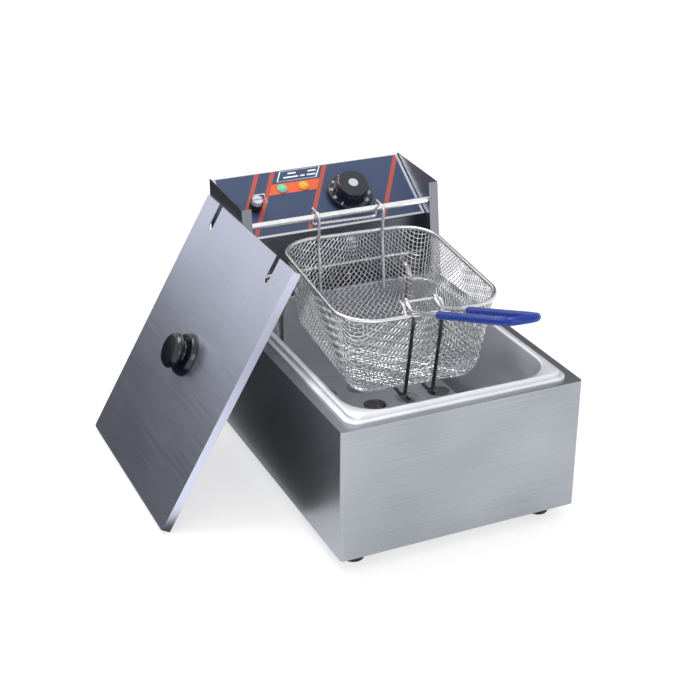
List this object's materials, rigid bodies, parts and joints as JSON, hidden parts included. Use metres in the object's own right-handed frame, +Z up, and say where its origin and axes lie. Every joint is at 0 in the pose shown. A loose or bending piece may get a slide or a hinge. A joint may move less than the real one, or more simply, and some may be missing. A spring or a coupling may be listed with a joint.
{
  "type": "deep fryer",
  "caption": "Countertop electric deep fryer with a drop-in oil tank, a lift-off control head with its heating element, a hook-on wire basket with a folding handle, and a loose flat lid.",
  "frame": {"origin": "middle of the base plate's underside, between the four feet, 18 mm above the surface that the fryer stands on", "axes": "+X to the operator's right, +Y to the back, +Z up"},
  "size_m": [0.4352, 0.5745, 0.3345],
  "materials": {
    "housing_steel": "satin, brushed along the front",
    "rubber": "matt",
    "zinc": "zinc plated",
    "tank_steel": "deep drawn, satin",
    "head_steel": "satin",
    "panel_steel": "satin",
    "panel_film": "printed film",
    "rail_steel": "polished",
    "element_sheath": "heat tinted",
    "plate_steel": "satin",
    "bulb_plate": "nickel plated copper, satin",
    "phenolic": "moulded",
    "green_lens": "clear tinted",
    "yellow_lens": "clear tinted",
    "lamp_plastic": "moulded",
    "black_plastic": "moulded",
    "brass_stud": "machined",
    "spindle_steel": "spun",
    "dial_plastic": "moulded, white marks",
    "grey_plastic": "moulded",
    "fuse_glass": "clear",
    "basket_wire": "nickel plated wire",
    "dark_wire": "heat darkened wire",
    "blue_pvc": "dipped",
    "lid_steel": "brushed",
    "knob_plastic": "moulded"
  },
  "bodies": {
    "housing": {"housing_shell": "housing_steel", "base_plate": "housing_steel", "foot_front_left": "rubber", "foot_front_right": "rubber", "foot_rear_left": "rubber", "foot_rear_right": "rubber", "foot_screws": "zinc", "base_screws": "zinc"},
    "tank": {"oil_tank": "tank_steel"},
    "head": {"head_cheek_left": "head_steel", "head_cheek_right": "head_steel", "control_panel": "panel_steel", "panel_overlay": "panel_film", "riser_plate": "head_steel", "element_plate": "head_steel", "head_base": "head_steel", "rear_cover": "head_steel", "rear_cover_screws": "zinc", "basket_rail": "rail_steel", "heating_element": "element_sheath", "element_nuts": "zinc", "element_cover": "plate_steel", "cover_legs": "plate_steel", "element_guard": "plate_steel", "sensor_bulbs": "bulb_plate", "sensor_capillaries": "bulb_plate", "thermostat_body": "phenolic", "safety_limiter": "phenolic", "lamp_lens_green": "green_lens", "lamp_lens_yellow": "yellow_lens", "lamp_bodies": "lamp_plastic", "fuse_holder": "black_plastic", "terminal_block": "lamp_plastic", "contactor": "black_plastic", "interlock_switch": "black_plastic", "cable_gland": "black_plastic", "gland_nut": "black_plastic", "earth_stud": "brass_stud"},
    "dial": {"dial_spindle": "spindle_steel", "dial_skirt": "dial_plastic", "dial_grip": "dial_plastic", "dial_disc": "spindle_steel"},
    "fuse_carrier": {"fuse_cap": "grey_plastic", "fuse_link": "fuse_glass"},
    "basket": {"basket_rim": "basket_wire", "basket_mesh": "basket_wire", "basket_hook": "basket_wire", "basket_braces": "dark_wire", "handle_bar": "basket_wire", "handle_bracket": "basket_wire"},
    "handle": {"handle_wire": "basket_wire", "handle_grip": "blue_pvc"},
    "lid": {"lid_panel": "lid_steel", "lid_knob": "knob_plastic", "lid_knob_screw": "zinc"}
  },
  "joints": [
    {"name": "tank_lift", "type": "slide", "parent": "housing", "child": "tank", "axis": [0, 0, 1], "range_m": [0, 0.075]},
    {"name": "head_lift", "type": "slide", "parent": "tank", "child": "head", "axis": [0, 0, 1], "range_m": [0, 0.2]},
    {"name": "dial_turn", "type": "hinge", "parent": "head", "child": "dial", "pos_m": [0.0375, 0.16565, 0.26135], "axis": [0, -0.5472, 0.837], "range_deg": [-290, 0]},
    {"name": "fuse_cap_turn", "type": "hinge", "parent": "head", "child": "fuse_carrier", "pos_m": [-0.086, 0.1669, 0.26217], "axis": [0, -0.5472, 0.837], "range_deg": [0, 90]},
    {"name": "basket_lift", "type": "slide", "parent": "head", "child": "basket", "axis": [0, -0.1867, 0.9824], "range_m": [0, 0.15]},
    {"name": "handle_fold", "type": "hinge", "parent": "basket", "child": "handle", "pos_m": [-0.00451, -0.10959, 0.23639], "axis": [-0.9982, 0.0602, 0], "range_deg": [0, 95]},
    {"name": "lid_lift", "type": "slide", "parent": "housing", "child": "lid", "axis": [0, 0, 1], "range_m": [0, 0.25]}
  ]
}
